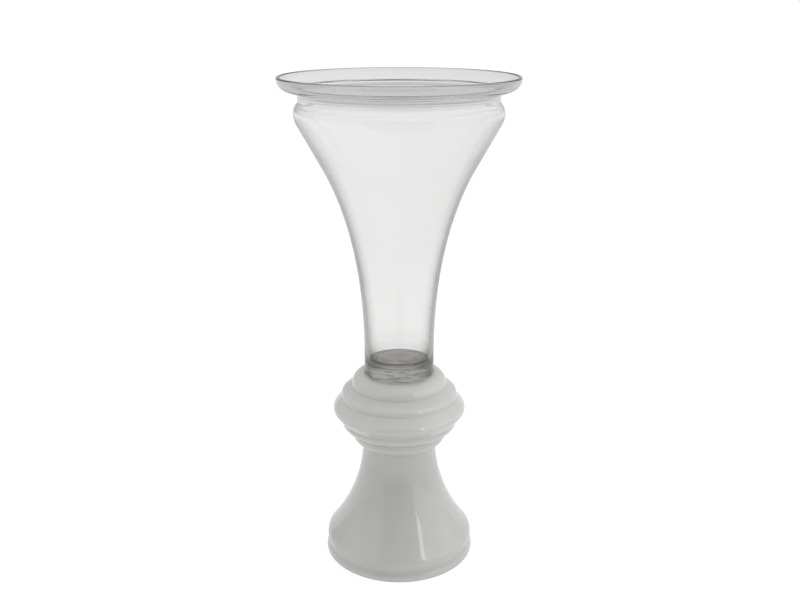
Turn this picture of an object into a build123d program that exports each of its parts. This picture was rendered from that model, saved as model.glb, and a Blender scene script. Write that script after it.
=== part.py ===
from build123d import *
import os
from math import acos, cos, degrees, radians, sin, sqrt, tan

# Trumpet vase in millimetres, +Z up, standing on z = 0: a clear glass vessel glued on a hollow opal
# glass pedestal. Every piece is turned about the Z axis, and points of a half-section are (radius, height).

# Opal pedestal: bottom band and bell foot
band_radius = 86.9          # halfway up the bottom band
band_foot_radius = 88.2     # widest part of the band, at its bottom edge
edge_round = 0.8            # outer edge of the resting rim
groove_height = 10.0        # crease between the band and the bell
bulge_rise = 7.5            # widest part of the bell above that crease
bulge_radius = 86.8
bulge_round = 13.0
bell_angle = 36.0           # lean of the bell's side just above the bulge, from vertical
bell_height = 139.5         # where the bell's neck meets the knop
bell_handle_low = 3.0       # how far the lower lean carries up the bell
bell_handle_high = 66.0     # how far the neck carries down the bell
neck_radius = 42.9
pedestal_wall = 6.4

# Opal pedestal: knop of five stacked rings, mirrored about its middle
knop_height = 86.0
ring_round_small = 13.6     # top and bottom rings
ring_round_mid = 8.2        # second and fourth rings
ring_round_large = 7.4      # middle ring
ring_step_mid = 12.3        # how far the mid rings stand out past the small ones
ring_step_large = 11.8      # how far the middle ring's corner stands out past the mid ones, before rounding
crease_small = 28.0         # crease between small and mid ring, above the knop's middle
crease_mid = 14.0           # crease between mid and large ring, above the knop's middle
mid_shoulder = 20.6         # corner of the mid ring above the knop's middle, before rounding
crease_round = 1.0
underside_flat = 0.5        # flat left between the neck and the bottom ring's rounding
top_plate = 10.0            # closed top that the vessel is glued to
knop_wall = 6.5             # from the mid rings in to the widest part of the hollow

# Glue between the vessel and the pedestal
glue_thickness = 0.6
glue_overhang = 1.0         # how far the squeezed-out bead stands past the vessel's foot
seat_margin = 0.4           # flat top left around the squeezed-out bead

# Clear vessel
foot_radius = 40.0
foot_bevel = 1.5
foot_wall = 5.0             # wall of the straight tube above the solid foot
solid_foot = 14.5           # glass under the inner floor
floor_round = 4.5           # inner corner between floor and wall
tube_height = 10.0          # straight wall above the floor's round corner
flare_handle_low = 93.0     # how far the straight tube carries up the flare
flare_handle_high = 50.0    # how far the cone carries down the flare
cone_angle = 28.7           # lean of the cone, from vertical
cone_length = 55.0
shoulder_height = 296.4     # widest part below the neck groove, above the vessel's foot
shoulder_round_low = 25.0
shoulder_round_high = 13.1
groove_depth = 5.2          # neck groove below the shoulder's widest part
groove_round = 6.5
groove_wall = 2.0           # straight wall of the neck groove
corner_round = 6.5          # inner corner under the rim
rim_slope_in = 4.0          # rise of the rim's underside at the neck, from horizontal
rim_slope_out = 30.0        # rise of the rim's underside where it turns up
rim_round = 12.9            # upturned edge of the rim
lip_radius = 129.0
rim_overhang = 16.4         # lip past the shoulder's widest part
wall = 3.8                  # wall from the cone up to the lip


def at(centre, radius, angle):
    """The point at this radius and angle, in degrees, around a centre."""
    return Vector(centre.X + radius * cos(radians(angle)), centre.Y + radius * sin(radians(angle)))


def arc(centre, radius, start, end):
    """Part of a circle from one angle to the other, in degrees."""
    return CenterArc(centre, radius, start, end - start)


def rounded_chain(corners):
    """Straight lines through (radius, height, rounding) corners, each corner rounded by its own radius."""
    points = [Vector(r, z) for r, z, rounding in corners]
    edges = []
    here = points[0]
    for i in range(1, len(points) - 1):
        before = (points[i - 1] - points[i]).normalized()
        after = (points[i + 1] - points[i]).normalized()
        half = radians(before.get_angle(after)) / 2
        rounding = corners[i][2]
        start = points[i] + before * (rounding / tan(half))
        end = points[i] + after * (rounding / tan(half))
        middle = points[i] + (before + after).normalized() * (rounding / sin(half) - rounding)
        edges += [Line(here, start), ThreePointArc(start, middle, end)]
        here = end
    return edges + [Line(here, points[-1])]


def turned(edges):
    """A solid made by turning a closed half-section about the Z axis."""
    return revolve(Plane.XZ * make_face(edges), Axis.Z)


# Heights and radii that follow from the sizes above
bulge_height = groove_height + bulge_rise
pedestal_height = bell_height + knop_height
knop_middle = bell_height + knop_height / 2
vessel_base = pedestal_height + glue_thickness
bead_radius = foot_radius + glue_overhang
small_ring = bead_radius + seat_margin + ring_round_small
mid_ring = small_ring + ring_step_mid
large_corner = mid_ring + ring_step_large
neck_bore = neck_radius - pedestal_wall

# Outside of the pedestal, from the resting rim up to the knop's flat top
bulge_centre = Vector(bulge_radius - bulge_round, bulge_height)
groove_drop = degrees(acos(sqrt(bulge_round**2 - bulge_rise**2) / bulge_round))
groove = at(bulge_centre, bulge_round, -groove_drop)
edge_centre = Vector(band_foot_radius - edge_round, edge_round)
band_middle = Vector(band_radius, (edge_round + groove_height) / 2)
bell_foot = at(bulge_centre, bulge_round, bell_angle)
bell_lean = Vector(-sin(radians(bell_angle)), cos(radians(bell_angle)))
neck_top = Vector(neck_radius, bell_height)
bell_outside = Bezier(
    bell_foot, bell_foot + bell_lean * bell_handle_low, neck_top - Vector(0, bell_handle_high), neck_top
)
underside_round = min(ring_round_small, small_ring - neck_radius - underside_flat)
half_knop = [
    (mid_ring, crease_mid, crease_round),
    (mid_ring, mid_shoulder, ring_round_mid),
    (small_ring, crease_small, crease_round),
    (small_ring, knop_height / 2, ring_round_small),
]
upper_knop = [(r, knop_middle + h, rounding) for r, h, rounding in half_knop]
lower_knop = [(r, knop_middle - h, rounding) for r, h, rounding in reversed(half_knop[:-1])]
knop_outside = rounded_chain(
    [(neck_radius, bell_height, 0), (small_ring, bell_height, underside_round)]
    + lower_knop
    + [(large_corner, knop_middle, ring_round_large)]
    + upper_knop
    + [(0, pedestal_height, 0)]
)

# Hollow of the pedestal, open underneath and closed by the top plate
hollow_foot = at(bulge_centre, bulge_round - pedestal_wall, bell_angle)
hollow_neck = Vector(neck_bore, bell_height)
hollow_side = Vector(bulge_radius - pedestal_wall, bulge_height)
hollow_rise = knop_height / 2 - top_plate
hollow_low = Vector(neck_bore, knop_middle - hollow_rise)
hollow_top = Vector(neck_bore, knop_middle + hollow_rise)
hollow = [
    Line((hollow_side.X, 0), hollow_side),
    arc(bulge_centre, bulge_round - pedestal_wall, 0, bell_angle),
    Bezier(
        hollow_foot,
        hollow_foot + bell_lean * bell_handle_low,
        hollow_neck - Vector(0, bell_handle_high),
        hollow_neck,
    ),
    Line(hollow_neck, hollow_low),
    ThreePointArc(hollow_low, (mid_ring - knop_wall, knop_middle), hollow_top),
    Line(hollow_top, (0, hollow_top.Y)),
]
opal_pedestal = turned(
    [
        Line((hollow_side.X, 0), (edge_centre.X, 0)),
        arc(edge_centre, edge_round, -90, 0),
        ThreePointArc((band_foot_radius, edge_round), band_middle, groove),
        arc(bulge_centre, bulge_round, -groove_drop, bell_angle),
        bell_outside,
    ]
    + knop_outside
    + hollow
    + [Line((0, hollow_top.Y), (0, pedestal_height))]
)

# Glue: a thin bed under the vessel's foot and the bead squeezed out around its bevelled edge
bed_radius = foot_radius - foot_bevel
adhesive_bed = Pos(0, 0, pedestal_height) * Cylinder(
    bed_radius, glue_thickness, align=(Align.CENTER, Align.CENTER, Align.MIN)
)
bead_corners = [
    (bed_radius, pedestal_height),
    (bead_radius, pedestal_height),
    (foot_radius, vessel_base + foot_bevel),
    (bed_radius, vessel_base),
]
adhesive_bead = turned(Polyline(*bead_corners, close=True).edges())

# Clear vessel: outside, lip, inside
shoulder_radius = lip_radius - rim_overhang
shoulder_z = vessel_base + shoulder_height
low_centre = Vector(shoulder_radius - shoulder_round_low, shoulder_z)
high_centre = Vector(shoulder_radius - shoulder_round_high, shoulder_z)
groove_lean = degrees(acos(1 - groove_depth / (shoulder_round_high + groove_round)))
groove_centre = at(high_centre, shoulder_round_high + groove_round, groove_lean)
corner_centre = groove_centre + Vector(corner_round - groove_round, groove_wall)
slope_in = rim_slope_in - 90
slope_out = rim_slope_out - 90
corner_end = at(corner_centre, corner_round, 180 + slope_in)
underside_run = lip_radius - rim_round + rim_round * cos(radians(slope_out)) - corner_end.X
rim_underside = underside_run / (cos(radians(slope_out)) - cos(radians(slope_in)))
underside_centre = at(corner_end, rim_underside, 180 + slope_in)
rim_centre = at(underside_centre, rim_underside - rim_round, slope_out)
lip_centre = Vector(lip_radius - wall / 2, rim_centre.Y)
cone_lean = Vector(sin(radians(cone_angle)), cos(radians(cone_angle)))
floor_z = vessel_base + solid_foot
tube_top = floor_z + floor_round + tube_height
tube_bore = foot_radius - foot_wall


def flare(tube_radius, cone_foot):
    """The trumpet's curve from the straight tube out into the cone."""
    tube_end = Vector(tube_radius, tube_top)
    return Bezier(
        tube_end, tube_end + Vector(0, flare_handle_low), cone_foot - cone_lean * flare_handle_high, cone_foot
    )


def rim_side(depth):
    """Cone, shoulder, neck groove and rim of the outside, or of the inside at this depth below it."""
    cone_top = at(low_centre, shoulder_round_low - depth, -cone_angle)
    return [
        Line(cone_top - cone_lean * cone_length, cone_top),
        arc(low_centre, shoulder_round_low - depth, -cone_angle, 0),
        arc(high_centre, shoulder_round_high - depth, 0, groove_lean),
        arc(groove_centre, groove_round + depth, 180 + groove_lean, 180),
        Line(at(groove_centre, groove_round + depth, 180), at(corner_centre, corner_round + depth, 180)),
        arc(corner_centre, corner_round + depth, 180, 180 + slope_in),
        arc(underside_centre, rim_underside - depth, slope_in, slope_out),
        arc(rim_centre, rim_round - depth, slope_out, 0),
    ]


outside = rim_side(0)
inside = rim_side(wall)
trumpet_vessel = turned(
    [
        Line((0, vessel_base), (bed_radius, vessel_base)),
        Line((bed_radius, vessel_base), (foot_radius, vessel_base + foot_bevel)),
        Line((foot_radius, vessel_base + foot_bevel), (foot_radius, tube_top)),
        flare(foot_radius, outside[0] @ 0),
        arc(lip_centre, wall / 2, 0, 180),
        flare(tube_bore, inside[0] @ 0),
        Line((tube_bore, tube_top), (tube_bore, floor_z + floor_round)),
        arc(Vector(tube_bore - floor_round, floor_z + floor_round), floor_round, 0, -90),
        Line((tube_bore - floor_round, floor_z), (0, floor_z)),
        Line((0, floor_z), (0, vessel_base)),
    ]
    + outside
    + inside
)

os.makedirs("parts", exist_ok=True)
export_step(opal_pedestal, "parts/opal_pedestal.step")
export_step(adhesive_bed, "parts/adhesive_bed.step")
export_step(adhesive_bead, "parts/adhesive_bead.step")
export_step(trumpet_vessel, "parts/trumpet_vessel.step")
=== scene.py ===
from math import acos, cos, degrees, exp, pi, radians, sin, tan

import bmesh
import bpy
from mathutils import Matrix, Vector, noise
from mathutils.geometry import interpolate_bezier


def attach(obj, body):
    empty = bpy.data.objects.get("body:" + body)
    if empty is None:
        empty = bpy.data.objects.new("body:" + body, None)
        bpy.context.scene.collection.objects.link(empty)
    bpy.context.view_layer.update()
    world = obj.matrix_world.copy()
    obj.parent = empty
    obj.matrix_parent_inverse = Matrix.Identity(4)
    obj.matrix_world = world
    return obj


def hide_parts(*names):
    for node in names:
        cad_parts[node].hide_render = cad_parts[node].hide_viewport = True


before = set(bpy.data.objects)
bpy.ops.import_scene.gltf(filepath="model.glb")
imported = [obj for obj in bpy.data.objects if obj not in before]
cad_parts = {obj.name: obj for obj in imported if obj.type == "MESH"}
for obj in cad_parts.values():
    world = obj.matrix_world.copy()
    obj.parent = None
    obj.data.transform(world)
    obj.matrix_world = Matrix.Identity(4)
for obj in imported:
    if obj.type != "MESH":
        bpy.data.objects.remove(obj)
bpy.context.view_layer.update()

# Opal pedestal: one hollow moulding of white opal glass, open underneath and closed by a flat top.
# It is blown into a turned mould and fire polished, so the five rings of its knop, its neck, bell
# and bottom band have soft edges and the surface is faintly wavy.
band_foot_radius = 0.0882
edge_round = 0.0008
bulge_height = 0.0175
bulge_radius = 0.0868
bulge_round = 0.013
bell_angle = 36
bell_height = 0.1395
neck_radius = 0.0429
pedestal_wall = 0.0064
knop_middle = 0.1825
pedestal_top = 0.2255
top_plate = 0.010
small_ring = 0.055
small_ring_rise = 0.028
mid_ring = 0.0673
mid_ring_start = 0.014
mid_ring_end = 0.0206
mid_ring_round = 0.0082
large_corner = 0.0791
large_corner_round = 0.0074
crease_round = 0.001
neck_ring_round = 0.0116
top_round = 0.0136
bell_pull_low = 0.003
bell_pull_high = 0.066
groove_angle = -22
hollow_pull = 0.0690
hollow_pull_rise = 0.020
milk_dim = (0.59, 0.59, 0.57)
milk_bright = (0.625, 0.625, 0.61)
# Painted shade: the bell is painted darker than the knop, where less light falls on it.
bell_painted_shade = 0.915
bell_painted_shade_start = 0.16
bell_painted_shade_full = 0.11
# Painted shade: the bottom edge, whose rounding faces the ground, is painted a dark brownish grey.
bottom_edge_shade_colour = (0.30, 0.26, 0.22)
bottom_edge_shade_start = 0.0018
bottom_edge_shade_full = 0.0004


def spot(radius, height):
    """A point of a half-section, which lies in the XZ plane."""
    return Vector((radius, 0, height))


def around(centre, radius, angle):
    """The point at this radius and angle, in degrees above the horizontal, around a centre."""
    return centre + radius * Vector((cos(radians(angle)), 0, sin(radians(angle))))


def rounding(centre, radius, start, end):
    """Part of a circle, with a point about every six degrees."""
    steps = max(2, round(abs(end - start) / 6))
    return [around(centre, radius, start + (end - start) * i / steps) for i in range(steps + 1)]


def run(start, end, steps):
    """A straight stretch in equal steps."""
    return [start.lerp(end, i / steps) for i in range(steps + 1)]


def rounded_chain(corners):
    """Straight lines through (radius, height, rounding) corners, each rounded by its own radius."""
    points = [spot(r, z) for r, z, size in corners]
    chain = [points[0]]
    for i in range(1, len(points) - 1):
        before = (points[i - 1] - points[i]).normalized()
        after = (points[i + 1] - points[i]).normalized()
        half = before.angle(after) / 2
        size = corners[i][2]
        reach = size / tan(half)
        pull = 4 / 3 * tan((pi - 2 * half) / 4) * size
        start = points[i] + before * reach
        end = points[i] + after * reach
        chain += interpolate_bezier(start, start - before * pull, end - after * pull, end, 10)
    return chain + [points[-1]]


def turned(half_section, steps=224, sharp=40):
    """A piece made by turning a half-section about the axis: an eighth is spun, then copied round."""
    shape = bmesh.new()
    corners = [shape.verts.new(point) for point in half_section]
    edges = [shape.edges.new(pair) for pair in zip(corners, corners[1:])]
    axle = {"cent": (0, 0, 0), "axis": (0, 0, 1)}
    bmesh.ops.spin(shape, geom=corners + edges, angle=pi / 4, steps=steps // 8, **axle)
    eighth = shape.verts[:] + shape.edges[:] + shape.faces[:]
    bmesh.ops.spin(shape, geom=eighth, angle=7 * pi / 4, steps=7, use_duplicate=True, **axle)
    bmesh.ops.remove_doubles(shape, verts=shape.verts, dist=1e-6)
    bmesh.ops.recalc_face_normals(shape, faces=shape.faces)
    for face in shape.faces:
        face.smooth = True
    for edge in shape.edges:
        edge.smooth = edge.calc_face_angle(0) < radians(sharp)
    return shape


def waver(shape, size, depth, seed):
    """Moves a surface in and out a little, as hand-worked glass is."""
    shape.normal_update()
    offset = Vector((seed, 0, 0))
    for vert in shape.verts:
        vert.co += vert.normal * (depth * noise.noise(vert.co / size + offset))


def placed(name, shape):
    """The finished mesh as an object of the scene."""
    mesh = bpy.data.meshes.new(name)
    shape.to_mesh(mesh)
    shape.free()
    piece = bpy.data.objects.new(name, mesh)
    bpy.context.scene.collection.objects.link(piece)
    return piece


def mould_chain():
    """The knop's outline, from the neck up to the flat top, mirrored about its middle."""
    half = [
        (mid_ring, mid_ring_start, crease_round),
        (mid_ring, mid_ring_end, mid_ring_round),
        (small_ring, small_ring_rise, crease_round),
    ]
    upper = [(r, knop_middle + h, size) for r, h, size in half]
    lower = [(r, knop_middle - h, size) for r, h, size in reversed(half)]
    foot = [(neck_radius, bell_height, 0), (small_ring, bell_height, neck_ring_round)]
    middle = [(large_corner, knop_middle, large_corner_round)]
    top = [(small_ring, pedestal_top, top_round), (0, pedestal_top, 0)]
    return rounded_chain(foot + lower + middle + upper + top)


bulge_centre = spot(bulge_radius - bulge_round, bulge_height)
bell_lean = Vector((-sin(radians(bell_angle)), 0, cos(radians(bell_angle))))


def bell_side(depth):
    """The bell's curve from the bulge up to the neck, on the outside or at this depth below it."""
    foot = around(bulge_centre, bulge_round - depth, bell_angle)
    neck = spot(neck_radius - depth, bell_height)
    low_pull = foot + bell_lean * bell_pull_low
    return interpolate_bezier(foot, low_pull, neck - spot(0, bell_pull_high), neck, 36)


band_pulls = [spot(0.0880, 0.0034), spot(0.0870, 0.0062)]
groove_start = spot(0.0862, 0.0076)
groove_pulls = [spot(0.0853, 0.0092), spot(0.0852, 0.0106)]
groove_end = around(bulge_centre, bulge_round, groove_angle)
band = rounding(spot(band_foot_radius - edge_round, edge_round), edge_round, -90, 0)
band += interpolate_bezier(spot(band_foot_radius, edge_round), *band_pulls, groove_start, 8)[1:]
band += interpolate_bezier(groove_start, *groove_pulls, groove_end, 10)[1:]
bulge = rounding(bulge_centre, bulge_round, groove_angle, bell_angle)[1:]
inner_bore = neck_radius - pedestal_wall
inner_side = bulge_radius - pedestal_wall
hollow_top = pedestal_top - top_plate
knop_hollow = interpolate_bezier(
    spot(inner_bore, 2 * knop_middle - hollow_top),
    spot(hollow_pull, knop_middle - hollow_pull_rise),
    spot(hollow_pull, knop_middle + hollow_pull_rise),
    spot(inner_bore, hollow_top),
    24,
)
pedestal_hollow = [spot(inner_side, 0), spot(inner_side, bulge_height)]
pedestal_hollow += rounding(bulge_centre, bulge_round - pedestal_wall, 0, bell_angle)[1:]
pedestal_hollow += bell_side(pedestal_wall)[1:] + knop_hollow + [spot(0, hollow_top)]
pedestal_outside = band + bulge + bell_side(0)[1:] + mould_chain()[1:]
pedestal_shape = turned(list(reversed(pedestal_hollow)) + pedestal_outside)
waver(pedestal_shape, size=0.05, depth=0.00006, seed=3)
pedestal = placed("opal_pedestal_glass", pedestal_shape)


def new_finish(name):
    """A new material, with its nodes, its links and its main shader."""
    material = bpy.data.materials.new(name)
    material.use_nodes = True
    tree = material.node_tree
    return material, tree.nodes, tree.links, tree.nodes["Principled BSDF"]


def speckle(nodes, links, scale, detail):
    """Noise all through a piece, at this many grains to the metre."""
    where = nodes.new("ShaderNodeTexCoord")
    texture = nodes.new("ShaderNodeTexNoise")
    texture.inputs["Scale"].default_value = scale
    texture.inputs["Detail"].default_value = detail
    links.new(where.outputs["Object"], texture.inputs["Vector"])
    return texture.outputs["Fac"]


def fade(nodes, links, along, low, high, level_low, level_high):
    """A level that goes from one value to another between two places along a measure."""
    step = nodes.new("ShaderNodeMapRange")
    step.inputs["From Min"].default_value = low
    step.inputs["From Max"].default_value = high
    step.inputs["To Min"].default_value = level_low
    step.inputs["To Max"].default_value = level_high
    links.new(along, step.inputs["Value"])
    return step.outputs["Result"]


def shades(nodes, links, along, stops):
    """A colour that changes along a measure, from (place, colour) stops."""
    ramp = nodes.new("ShaderNodeValToRGB")
    ramp.color_ramp.elements[0].position = stops[0][0]
    ramp.color_ramp.elements[0].color = (*stops[0][1], 1)
    ramp.color_ramp.elements[1].position = stops[-1][0]
    ramp.color_ramp.elements[1].color = (*stops[-1][1], 1)
    for place, colour in stops[1:-1]:
        ramp.color_ramp.elements.new(place).color = (*colour, 1)
    links.new(along, ramp.inputs["Fac"])
    return ramp.outputs["Color"]


def height_of(nodes, links):
    """The height above the ground of a point of a piece."""
    where = nodes.new("ShaderNodeTexCoord")
    split = nodes.new("ShaderNodeSeparateXYZ")
    links.new(where.outputs["Object"], split.inputs["Vector"])
    return split.outputs["Z"]


def blended(nodes, links, colour, other, where, how="MIX"):
    """A colour mixed with another one, or multiplied by it, where a measure is 1."""
    step = nodes.new("ShaderNodeMix")
    step.data_type = "RGBA"
    step.blend_type = how
    step.inputs["B"].default_value = (*other, 1)
    links.new(where, step.inputs["Factor"])
    links.new(colour, step.inputs["A"])
    return step.outputs["Result"]


def darkened(nodes, links, colour, level, where):
    """A colour brought down to a level of itself where a measure is 1."""
    return blended(nodes, links, colour, (level, level, level), where, "MULTIPLY")


opal, nodes, links, body = new_finish("opal_glass_finish")
cloud = speckle(nodes, links, scale=14, detail=4)
height = height_of(nodes, links)
milk = shades(nodes, links, cloud, [(0.3, milk_dim), (0.7, milk_bright)])
# Painted shade: the milk is painted darker on the bell below the knop, where less light falls.
on_bell = fade(nodes, links, height, bell_painted_shade_full, bell_painted_shade_start, 1, 0)
milk = darkened(nodes, links, milk, bell_painted_shade, on_bell)
# Painted shade: the bottom edge is painted a dark brownish grey, for its rounding that faces the ground.
at_foot = fade(nodes, links, height, bottom_edge_shade_full, bottom_edge_shade_start, 0.85, 0)
milk = blended(nodes, links, milk, bottom_edge_shade_colour, at_foot)
links.new(milk, body.inputs["Base Color"])
wear = speckle(nodes, links, scale=55, detail=5)
links.new(fade(nodes, links, wear, 0.35, 0.75, 0.02, 0.05), body.inputs["Roughness"])
body.inputs["IOR"].default_value = 1.5
body.inputs["Subsurface Weight"].default_value = 0.8
body.inputs["Subsurface Radius"].default_value = (1.0, 0.97, 0.9)
body.inputs["Subsurface Scale"].default_value = 0.010
pedestal.data.materials.append(opal)
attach(pedestal, "root")
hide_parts("opal_pedestal")

# Glue bed: a thin layer of clear glue between the pedestal's flat top and the vessel's foot.
# It was pressed out by hand and wets the glass, so its wrinkles and trapped air show through the foot.
# Towards its edge it is thin and clear, and the white glass under it shows.
bed_radius = 0.0385
bed_gap = 0.00002
bed_bottom = pedestal_top + bed_gap
bed_top = 0.22625
wrinkle_depth = 0.00006
wrinkles_per_metre = 260
clear_start = 0.029
clear_full = 0.034
smear_colours = [(0.36, (0.28, 0.27, 0.25)), (0.46, (0.42, 0.41, 0.38)), (0.66, (0.50, 0.49, 0.46))]
clear_colour = (0.70, 0.69, 0.66)
gleam_colours = [(0.40, (0.55, 0.55, 0.53)), (0.52, (0.98, 0.98, 0.96))]

bed_section = [spot(0, bed_bottom), spot(bed_radius, bed_bottom)]
bed_section += run(spot(bed_radius, bed_top), spot(0, bed_top), 40)
bed_shape = turned(bed_section, steps=160)
for vert in bed_shape.verts:
    if vert.co.z > (bed_bottom + bed_top) / 2:
        vert.co.z += wrinkle_depth * noise.noise(vert.co * wrinkles_per_metre)
glue_bed = placed("clear_glue_bed", bed_shape)


def out_from_axis(nodes, links):
    """The distance of a point of a piece from the upright axis."""
    where = nodes.new("ShaderNodeTexCoord")
    flat = nodes.new("ShaderNodeVectorMath")
    flat.operation = "MULTIPLY"
    flat.inputs[1].default_value = (1, 1, 0)
    links.new(where.outputs["Object"], flat.inputs[0])
    length = nodes.new("ShaderNodeVectorMath")
    length.operation = "LENGTH"
    links.new(flat.outputs["Vector"], length.inputs[0])
    return length.outputs["Value"]


def either(nodes, links, first, second, share):
    """Two shaders in one, with this share of the second."""
    mix = nodes.new("ShaderNodeMixShader")
    links.new(share, mix.inputs["Fac"])
    links.new(first, mix.inputs[1])
    links.new(second, mix.inputs[2])
    return mix.outputs["Shader"]


glue, nodes, links, body = new_finish("clear_glue_finish")
smear = shades(nodes, links, speckle(nodes, links, scale=70, detail=4), smear_colours)
towards_edge = fade(nodes, links, out_from_axis(nodes, links), clear_start, clear_full, 0, 0.8)
links.new(blended(nodes, links, smear, clear_colour, towards_edge), body.inputs["Base Color"])
where = nodes.new("ShaderNodeTexCoord")
bubbles = nodes.new("ShaderNodeTexVoronoi")
bubbles.inputs["Scale"].default_value = 240
links.new(where.outputs["Object"], bubbles.inputs["Vector"])
dents = nodes.new("ShaderNodeBump")
dents.inputs["Strength"].default_value = 0.6
dents.inputs["Distance"].default_value = 0.0005
links.new(bubbles.outputs["Distance"], dents.inputs["Height"])
links.new(dents.outputs["Normal"], body.inputs["Normal"])
body.inputs["Roughness"].default_value = 0.6
body.inputs["Specular IOR Level"].default_value = 0
low_angle = nodes.new("ShaderNodeLayerWeight")
low_angle.inputs["Blend"].default_value = 0.5
gleam = nodes.new("ShaderNodeBsdfGlossy")
streaks = speckle(nodes, links, scale=130, detail=3)
links.new(shades(nodes, links, streaks, gleam_colours), gleam.inputs["Color"])
gleam.inputs["Roughness"].default_value = 0.35
links.new(dents.outputs["Normal"], gleam.inputs["Normal"])
wetness = fade(nodes, links, low_angle.outputs["Facing"], 0.3, 0.75, 0, 0.75)
wet = either(nodes, links, body.outputs["BSDF"], gleam.outputs["BSDF"], wetness)
links.new(wet, nodes["Material Output"].inputs["Surface"])
glue_bed.data.materials.append(glue)
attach(glue_bed, "root")
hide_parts("adhesive_bed")

# Glue bead: the glue that was squeezed out around the foot's bevelled edge, yellowed with age.
# It is an uneven little fillet that clings to the bevel and to the pedestal's top.
bead_inner = 0.0386
bead_outer = 0.0404
bead_crest = [(bead_outer, 0.0003), (0.0402, 0.0008), (0.0400, 0.0015), (0.0398, 0.0014), (0.0387, 0.00046)]
bead_middle = 0.040
bead_free = 0.0399
bead_unevenness = 0.0003
swells_per_metre = 120
drips_per_metre = 90
stain_colours = [(0.38, (0.42, 0.33, 0.25)), (0.5, (0.56, 0.50, 0.42)), (0.6, (0.62, 0.60, 0.56))]

bead_section = [spot(bead_inner, bed_bottom), spot(bead_outer, bed_bottom)]
bead_section += [spot(radius, pedestal_top + rise) for radius, rise in bead_crest]
bead_section += [spot(bead_inner, bed_bottom)]
bead_shape = turned(bead_section, steps=240)
for vert in bead_shape.verts:
    if vert.co.xy.length > bead_free:
        swell = bead_unevenness * noise.noise(Vector((vert.co.x, vert.co.y, 0)) * swells_per_metre)
        vert.co.xy *= 1 + swell / bead_middle
        vert.co.z += bead_unevenness * noise.noise(Vector((vert.co.y, vert.co.x, 1)) * drips_per_metre)
    vert.co.z = max(vert.co.z, bed_bottom)
bead = placed("aged_glue_bead", bead_shape)

aged, nodes, links, body = new_finish("aged_glue_finish")
stain = speckle(nodes, links, scale=70, detail=5)
links.new(shades(nodes, links, stain, stain_colours), body.inputs["Base Color"])
body.inputs["Roughness"].default_value = 0.35
body.inputs["IOR"].default_value = 1.48
bead.data.materials.append(aged)
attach(bead, "root")
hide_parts("adhesive_bead")

# Clear vessel: a trumpet of clear pressed and blown glass with a solid foot, a thick tube, a wide cone,
# a neck groove under the shoulder, and a dish rim with a fire-polished lip. It stands in the glue.
vessel_base = 0.2261
foot_radius = 0.040
foot_bevel = 0.0015
tube_bore = 0.035
floor_height = 0.2406
floor_round = 0.0045
tube_top = 0.2551
cone_angle = 28.7
cone_length = 0.055
flare_pull_low = 0.093
flare_pull_high = 0.050
shoulder_radius = 0.1126
shoulder_height = 0.5225
shoulder_round_low = 0.025
shoulder_round_high = 0.0131
neck_groove_depth = 0.0052
neck_groove_round = 0.0065
neck_groove_wall = 0.002
corner_round = 0.0065
rim_slope_in = 4
rim_slope_out = 30
rim_round = 0.0129
lip_radius = 0.129
wall = 0.0038
mould_ring_place = 0.0255
mould_ring_width = 0.0010
mould_ring_rise = 0.0004
dimple_width = 0.006
dimple_depth = 0.0006
# Levels of the glass by how edge-on it is: partly the depth looked through, partly painted shade.
glass_depth_and_shade = [(0.22, 0.965), (0.36, 0.69), (0.47, 0.34), (0.56, 0.16), (0.75, 0.22)]
glass_colour = (0.14, 0.15, 0.06, 1)
glass_density = 6
shadow_colour = (0.96, 0.96, 0.96, 1)
blown_start = (0.30, 0.34)
blown_end = (0.48, 0.51)
blown_roughness = 0.16

low_centre = spot(shoulder_radius - shoulder_round_low, shoulder_height)
high_centre = spot(shoulder_radius - shoulder_round_high, shoulder_height)
lean = degrees(acos(1 - neck_groove_depth / (shoulder_round_high + neck_groove_round)))
neck_centre = around(high_centre, shoulder_round_high + neck_groove_round, lean)
corner_centre = neck_centre + spot(corner_round - neck_groove_round, neck_groove_wall)
slope_in = rim_slope_in - 90
slope_out = rim_slope_out - 90
corner_end = around(corner_centre, corner_round, 180 + slope_in)
underside_run = lip_radius - rim_round + rim_round * cos(radians(slope_out)) - corner_end.x
rim_underside = underside_run / (cos(radians(slope_out)) - cos(radians(slope_in)))
underside_centre = around(corner_end, rim_underside, 180 + slope_in)
rim_centre = around(underside_centre, rim_underside - rim_round, slope_out)
cone_lean = Vector((sin(radians(cone_angle)), 0, cos(radians(cone_angle))))


def trumpet_side(depth, tube_radius):
    """Tube, flare, cone, shoulder, neck groove and rim of the outside, or of the inside at this depth."""
    cone_top = around(low_centre, shoulder_round_low - depth, -cone_angle)
    cone_foot = cone_top - cone_lean * cone_length
    tube_end = spot(tube_radius, tube_top)
    low_pull = tube_end + spot(0, flare_pull_low)
    high_pull = cone_foot - cone_lean * flare_pull_high
    side = interpolate_bezier(tube_end, low_pull, high_pull, cone_foot, 40)
    side += run(cone_foot, cone_top, 8)[1:]
    side += rounding(low_centre, shoulder_round_low - depth, -cone_angle, 0)[1:]
    side += rounding(high_centre, shoulder_round_high - depth, 0, lean)[1:]
    side += rounding(neck_centre, neck_groove_round + depth, 180 + lean, 180)[1:]
    side += rounding(corner_centre, corner_round + depth, 180, 180 + slope_in)
    side += rounding(underside_centre, rim_underside - depth, slope_in, slope_out)[1:]
    side += rounding(rim_centre, rim_round - depth, slope_out, 0)[1:]
    return side


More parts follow.
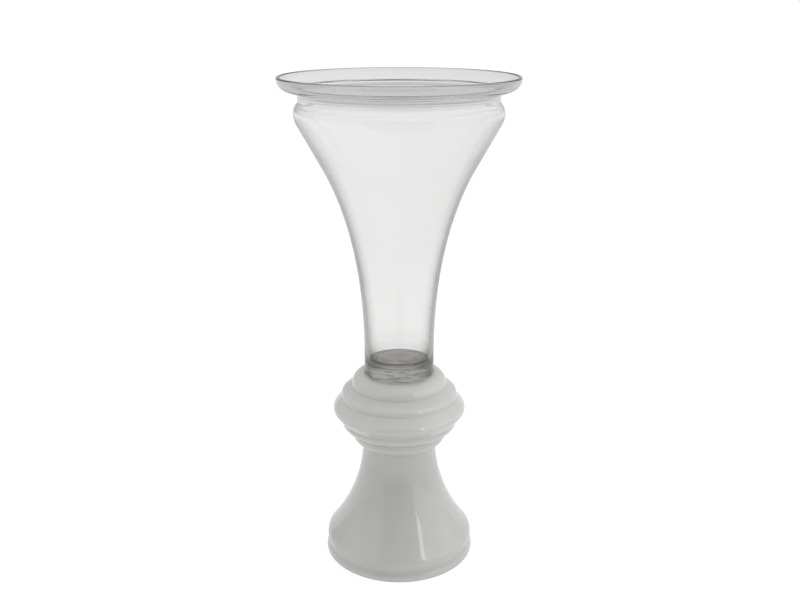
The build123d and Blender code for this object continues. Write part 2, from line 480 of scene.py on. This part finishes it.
foot_underside = run(spot(0, vessel_base), spot(foot_radius - foot_bevel, vessel_base), 6)
foot_side = run(spot(foot_radius, vessel_base + foot_bevel), spot(foot_radius, tube_top), 4)
lip = rounding(spot(lip_radius - wall / 2, rim_centre.z), wall / 2, 0, 180)
floor_corner = rounding(spot(tube_bore - floor_round, floor_height + floor_round), floor_round, 0, -90)
floor_line = run(spot(tube_bore - floor_round, floor_height), spot(0, floor_height), 40)
for point in floor_line:
    mould_ring = mould_ring_rise * exp(-(((point.x - mould_ring_place) / mould_ring_width) ** 2))
    dimple = dimple_depth * exp(-((point.x / dimple_width) ** 2))
    point.z += mould_ring - dimple
vessel_section = foot_underside + foot_side[:-1] + trumpet_side(0, foot_radius)
vessel_section += lip[1:-1] + list(reversed(trumpet_side(wall, tube_bore)))
vessel_section += floor_corner + floor_line[1:]
vessel_shape = turned(vessel_section, steps=336)
waver(vessel_shape, size=0.07, depth=0.00005, seed=11)
outer_skin = vessel_shape.faces.layers.float.new("outer_skin")
lip_line = vessel_shape.faces.layers.float.new("lip_line")
for face in vessel_shape.faces:
    middle = face.calc_center_median()
    face[outer_skin] = face.normal.xy.dot(middle.xy) > 0.02 * middle.xy.length
    face[lip_line] = face.normal.z > 0.3 and middle.z > rim_centre.z
vessel = placed("clear_trumpet_glass", vessel_shape)


def combined(nodes, links, operation, first, second):
    """Two levels put together by one operation."""
    step = nodes.new("ShaderNodeMath")
    step.operation = operation
    links.new(first, step.inputs[0])
    links.new(second, step.inputs[1])
    return step.outputs["Value"]


def span(nodes, links, along, start, full_from, full_to, end):
    """A level that is 1 between two places along a measure, with soft ends."""
    rise = fade(nodes, links, along, start, full_from, 0, 1)
    fall = fade(nodes, links, along, full_to, end, 1, 0)
    return combined(nodes, links, "MULTIPLY", rise, fall)


glass, nodes, links, body = new_finish("clear_glass_finish")
height = height_of(nodes, links)
edge_on = nodes.new("ShaderNodeLayerWeight")
edge_on.inputs["Blend"].default_value = 0.5
facing = edge_on.outputs["Facing"]
side = nodes.new("ShaderNodeNewGeometry")
from_glass = side.outputs["Backfacing"]
from_outside = fade(nodes, links, from_glass, 0, 1, 1, 0)
skin = nodes.new("ShaderNodeAttribute")
skin.attribute_name = "outer_skin"
outer_side = skin.outputs["Fac"]
bowl_side = fade(nodes, links, outer_side, 0, 1, 1, 0)
lip_top = nodes.new("ShaderNodeAttribute")
lip_top.attribute_name = "lip_line"


def within(first, second):
    """The part of one level of the glass that lies within another."""
    return combined(nodes, links, "MULTIPLY", first, second)


def ring(wall_side, base, *rises):
    """A level that is 1 on a ring of the glass, on one side of its wall, between rises above a height."""
    return within(span(nodes, links, height, *[base + rise for rise in rises]), wall_side)


through_wall = within(bowl_side, from_glass)

# Edge-on glass is darker, partly because more of it is looked through and partly by painted shade, which
# stands in for the dark surroundings that its edges refract and mirror.
lean_of_side = fade(nodes, links, height, 0.255, 0.463, 0, 0.28)
foot_depth_and_shade = within(
    fade(nodes, links, height, floor_height + 0.0024, floor_height + 0.0234, 0.26, 0),
    fade(nodes, links, height, floor_height - 0.0021, floor_height + 0.0009, 0, 1),
)
turned_away = combined(nodes, links, "SUBTRACT", facing, lean_of_side)
turned_away = combined(nodes, links, "ADD", turned_away, foot_depth_and_shade)
below_neck = fade(nodes, links, height, shoulder_height - 0.0045, shoulder_height + 0.0075, 1, 0)
edge_depth_and_shade = within(turned_away, within(outer_side, below_neck))
tint = shades(nodes, links, edge_depth_and_shade, [(place, (level, level, level)) for place, level in glass_depth_and_shade])

# Painted shade: the foot, the bore, the bends of the rim and the lip are painted as dark lines, in place of
# the dark lines that refraction and reflection show there.
foot_edge = ring(outer_side, floor_height, -0.0001, 0.0019, 0.0064, 0.0144)
foot_edge = within(foot_edge, fade(nodes, links, facing, 0.3, 0.6, 0, 1))
bore_line = ring(through_wall, floor_height, 0.0052, 0.0058, 0.0078, 0.0086)
rim_bend = ring(outer_side, shoulder_height, 0.0105, 0.0155, 0.0195, 0.0235)
rim_dish = ring(outer_side, shoulder_height, 0.0205, 0.0265, 0.0475, 0.0485)
bend_line = ring(outer_side, shoulder_height, 0.0277, 0.0283, 0.0285, 0.0291)
lip_edge = within(lip_top.outputs["Fac"], fade(nodes, links, facing, 0.05, 0.35, 0, 1))
painted_dark_lines = [
    (0.45, foot_edge),
    (0.16, bore_line),
    (0.68, rim_bend),
    (0.74, rim_dish),
    (0.66, within(rim_dish, from_outside)),
    (0.40, within(bend_line, from_outside)),
    (0.30, lip_edge),
]
for level, line in painted_dark_lines:
    tint = darkened(nodes, links, tint, level, line)
links.new(tint, body.inputs["Base Color"])

# The glass is polished, and a little rough inside the cone, where it was blown.
polish = fade(nodes, links, speckle(nodes, links, scale=35, detail=6), 0.45, 0.75, 0, 0.02)
blown_inside = within(
    fade(nodes, links, height, *blown_start, 0, blown_roughness),
    fade(nodes, links, height, *blown_end, 1, 0),
)
blown_inside = within(blown_inside, bowl_side)
links.new(combined(nodes, links, "ADD", polish, blown_inside), body.inputs["Roughness"])

# Painted highlight: the corner of the inner floor and the mould ring on it scatter some light, as dull
# white glass, so that they show as bright lines in place of the glints that the glass mirrors there.
corner_glint = ring(through_wall, floor_height, 0.0007, 0.0012, 0.0034, 0.0040)
on_floor = within(bowl_side, fade(nodes, links, height, floor_height + 0.0006, floor_height + 0.0010, 1, 0))
ring_span = [mould_ring_place + offset for offset in (-0.0009, -0.0003, 0.0003, 0.0009)]
mould_ring_glint = span(nodes, links, out_from_axis(nodes, links), *ring_span)
painted_glints = combined(nodes, links, "ADD", corner_glint, within(mould_ring_glint, on_floor))
links.new(fade(nodes, links, painted_glints, 0, 1, 1, 0), body.inputs["Transmission Weight"])
body.inputs["IOR"].default_value = 1.5

# Light passes straight through the glass on its way to what stands in its shade.
rays = nodes.new("ShaderNodeLightPath")
passing = nodes.new("ShaderNodeBsdfTransparent")
passing.inputs["Color"].default_value = shadow_colour
shadowed = either(
    nodes, links, body.outputs["BSDF"], passing.outputs["BSDF"], rays.outputs["Is Shadow Ray"]
)
links.new(shadowed, nodes["Material Output"].inputs["Surface"])
thick_glass = nodes.new("ShaderNodeVolumeAbsorption")
thick_glass.inputs["Color"].default_value = glass_colour
thick_glass.inputs["Density"].default_value = glass_density
links.new(thick_glass.outputs["Volume"], nodes["Material Output"].inputs["Volume"])
vessel.data.materials.append(glass)
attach(vessel, "root")
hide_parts("trumpet_vessel")

# Studio floor: a wide sheet of white paper that the vase stands on, which fills the view behind it.
# It shows white to the eye and through the glass, and keeps the vase's soft shadow. Towards the camera
# it lies in the shade, in a wedge that starts in front of the vase and that only gloss mirrors.
shade_start = 0.51
shade_spread = 0.57
front_spread = tan(radians(36))
shade_edge = 0.03
front_edge = 0.02
shade_level = 0.35
lit_level = 0.50
mirrored_brightness = 0.66
white_to_eye = 0.80
paper_colour = (0.35, 0.35, 0.35, 1)
half_floor = 15
floor_drop = 0.0002

floor_shape = bmesh.new()
bmesh.ops.create_grid(floor_shape, x_segments=1, y_segments=1, size=half_floor)
bmesh.ops.translate(floor_shape, verts=floor_shape.verts, vec=(0, 0, -floor_drop))
floor = placed("studio_floor", floor_shape)

paper, nodes, links, body = new_finish("white_paper")
nodes.remove(body)


def leaning(nodes, links, rise, along, base):
    """A level that starts from one measure and rises along another."""
    line = nodes.new("ShaderNodeMath")
    line.operation = "MULTIPLY_ADD"
    line.inputs[1].default_value = rise
    links.new(along, line.inputs[0])
    links.new(base, line.inputs[2])
    return line.outputs["Value"]


where = nodes.new("ShaderNodeTexCoord")
spread = nodes.new("ShaderNodeSeparateXYZ")
links.new(where.outputs["Object"], spread.inputs["Vector"])
sideways = nodes.new("ShaderNodeMath")
sideways.operation = "ABSOLUTE"
links.new(spread.outputs["X"], sideways.inputs[0])
wedge = leaning(nodes, links, shade_spread, sideways.outputs["Value"], spread.outputs["Y"])
sector = leaning(nodes, links, front_spread, spread.outputs["Y"], sideways.outputs["Value"])
rays = nodes.new("ShaderNodeLightPath")
lit_part = combined(
    nodes,
    links,
    "MAXIMUM",
    fade(nodes, links, wedge, -shade_start - shade_edge, -shade_start, shade_level, 1),
    fade(nodes, links, sector, -front_edge, 0, shade_level, 1),
)
in_gloss = rays.outputs["Is Glossy Ray"]
through_glass = rays.outputs["Is Transmission Ray"]
reflected = combined(nodes, links, "SUBTRACT", in_gloss, through_glass)
lit_part = combined(nodes, links, "MAXIMUM", lit_part, fade(nodes, links, reflected, 0, 1, 1, 0))
mirrored = combined(nodes, links, "MAXIMUM", in_gloss, through_glass)
mirrored_level = fade(nodes, links, mirrored, 0, 1, lit_level, mirrored_brightness)
mirrored_level = combined(nodes, links, "MULTIPLY", mirrored_level, lit_part)
shown_level = fade(nodes, links, rays.outputs["Is Camera Ray"], 0, 1, 0, white_to_eye)
shown = nodes.new("ShaderNodeEmission")
links.new(combined(nodes, links, "MAXIMUM", mirrored_level, shown_level), shown.inputs["Strength"])
lit = nodes.new("ShaderNodeBsdfDiffuse")
lit.inputs["Color"].default_value = paper_colour
both = nodes.new("ShaderNodeAddShader")
links.new(lit.outputs["BSDF"], both.inputs[0])
links.new(shown.outputs["Emission"], both.inputs[1])
links.new(both.outputs["Shader"], nodes["Material Output"].inputs["Surface"])
floor.data.materials.append(paper)

# Dark card: a black board that stands on the floor behind the camera.
# Nothing but gloss shows it, and it is what the pedestal's bell mirrors as a tall dark arch.
card_place = -1.15
card_half_width = 0.80
card_height = 1.09
card_colour = (0.06, 0.06, 0.06, 1)

card_shape = bmesh.new()
card_corners = [(-1, 0), (1, 0), (1, 1), (-1, 1)]
card_shape.faces.new(
    [card_shape.verts.new((x * card_half_width, card_place, z * card_height)) for x, z in card_corners]
)
card = placed("dark_card", card_shape)

board, nodes, links, body = new_finish("black_board")
body.inputs["Base Color"].default_value = card_colour
body.inputs["Roughness"].default_value = 1
rays = nodes.new("ShaderNodeLightPath")
unseen = nodes.new("ShaderNodeBsdfTransparent")
shown = either(
    nodes, links, body.outputs["BSDF"], unseen.outputs["BSDF"], rays.outputs["Is Transmission Ray"]
)
links.new(shown, nodes["Material Output"].inputs["Surface"])
card.data.materials.append(board)
card.visible_camera = False
card.visible_diffuse = False
card.visible_shadow = False
card.visible_transmission = False

# Studio light: a pale tent around the vase, brighter on the right, with a soft box overhead.
# A tall panel on each side and a narrow strip on the right light the pedestal only, and show in its gloss.
world = bpy.data.worlds.new("pale_tent")
bpy.context.scene.world = world
world.use_nodes = True
nodes = world.node_tree.nodes
links = world.node_tree.links
where = nodes.new("ShaderNodeTexCoord")
way = nodes.new("ShaderNodeSeparateXYZ")
links.new(where.outputs["Generated"], way.inputs["Vector"])


def backdrop(nodes, links, level):
    """White light of the tent at this level."""
    light = nodes.new("ShaderNodeBackground")
    light.inputs["Color"].default_value = (1, 1, 1, 1)
    links.new(level, light.inputs["Strength"])
    return light.outputs["Background"]


rising = fade(nodes, links, way.outputs["Z"], 0, 0.5, 0.62, 0.85)
across = fade(nodes, links, way.outputs["X"], -0.7, 0.7, 0.80, 1.20)
walls = backdrop(nodes, links, combined(nodes, links, "MULTIPLY", rising, across))
glow = backdrop(nodes, links, fade(nodes, links, way.outputs["Y"], -0.9, 0.2, 0.50, 0.80))
rays = nodes.new("ShaderNodeLightPath")
in_gloss = rays.outputs["Is Glossy Ray"]
through_glass = rays.outputs["Is Transmission Ray"]
tent = either(nodes, links, glow, walls, combined(nodes, links, "MAXIMUM", in_gloss, through_glass))
plain = nodes["Background"]
plain.inputs["Color"].default_value = (1, 1, 1, 1)
tent = either(nodes, links, tent, plain.outputs["Background"], rays.outputs["Is Camera Ray"])
links.new(tent, nodes["World Output"].inputs["Surface"])


def soft_box(name, place, aim, width, height, brightness):
    """A soft box lamp that faces a point. Brightness is 1 for white."""
    lamp = bpy.data.lights.new(name, "AREA")
    lamp.shape = "RECTANGLE"
    lamp.size = width
    lamp.size_y = height
    lamp.energy = brightness * pi * width * height
    holder = bpy.data.objects.new(name, lamp)
    holder.location = place
    holder.rotation_euler = (Vector(aim) - Vector(place)).to_track_quat("-Z", "Y").to_euler()
    holder.visible_camera = False
    bpy.context.scene.collection.objects.link(holder)
    return holder


panel = {"aim": (0, 0, 1.0), "width": 2.2, "height": 2.0}
top = soft_box("top_soft_box", (0.2, -0.3, 2.2), (0, 0, 0.2), width=1.4, height=1.4, brightness=1.28)
right = soft_box("right_panel", (1.6, -0.58, 1.0), brightness=0.56, **panel)
left = soft_box("left_panel", (-1.6, -0.58, 1.0), brightness=0.22, **panel)
strip = soft_box("strip_box", (0.90, -1.06, 0.8), (0, 0, 0.8), width=0.14, height=0.76, brightness=3.2)
top.visible_glossy = False
top.visible_transmission = False
pedestal_only = bpy.data.collections.new("pedestal_only")
pedestal_only.objects.link(pedestal)
for lamp in (right, left, strip):
    lamp.light_linking.receiver_collection = pedestal_only

# Camera: it stands a metre in front of the vase, a little above the lip, and looks down on it.
# The lip, the rings of the knop and the band at the bottom all show as ovals from there.
camera_place = (0.001, -1.0, 0.637)
camera_tilt = 72
lens_length = 41.75
sensor_width = 36

view = bpy.data.cameras.new("front_camera")
view.lens = lens_length
view.sensor_width = sensor_width
camera = bpy.data.objects.new("front_camera", view)
camera.location = camera_place
camera.rotation_euler = (radians(camera_tilt), 0, 0)
bpy.context.scene.collection.objects.link(camera)
bpy.context.scene.camera = camera
bpy.context.scene.view_settings.view_transform = "Standard"
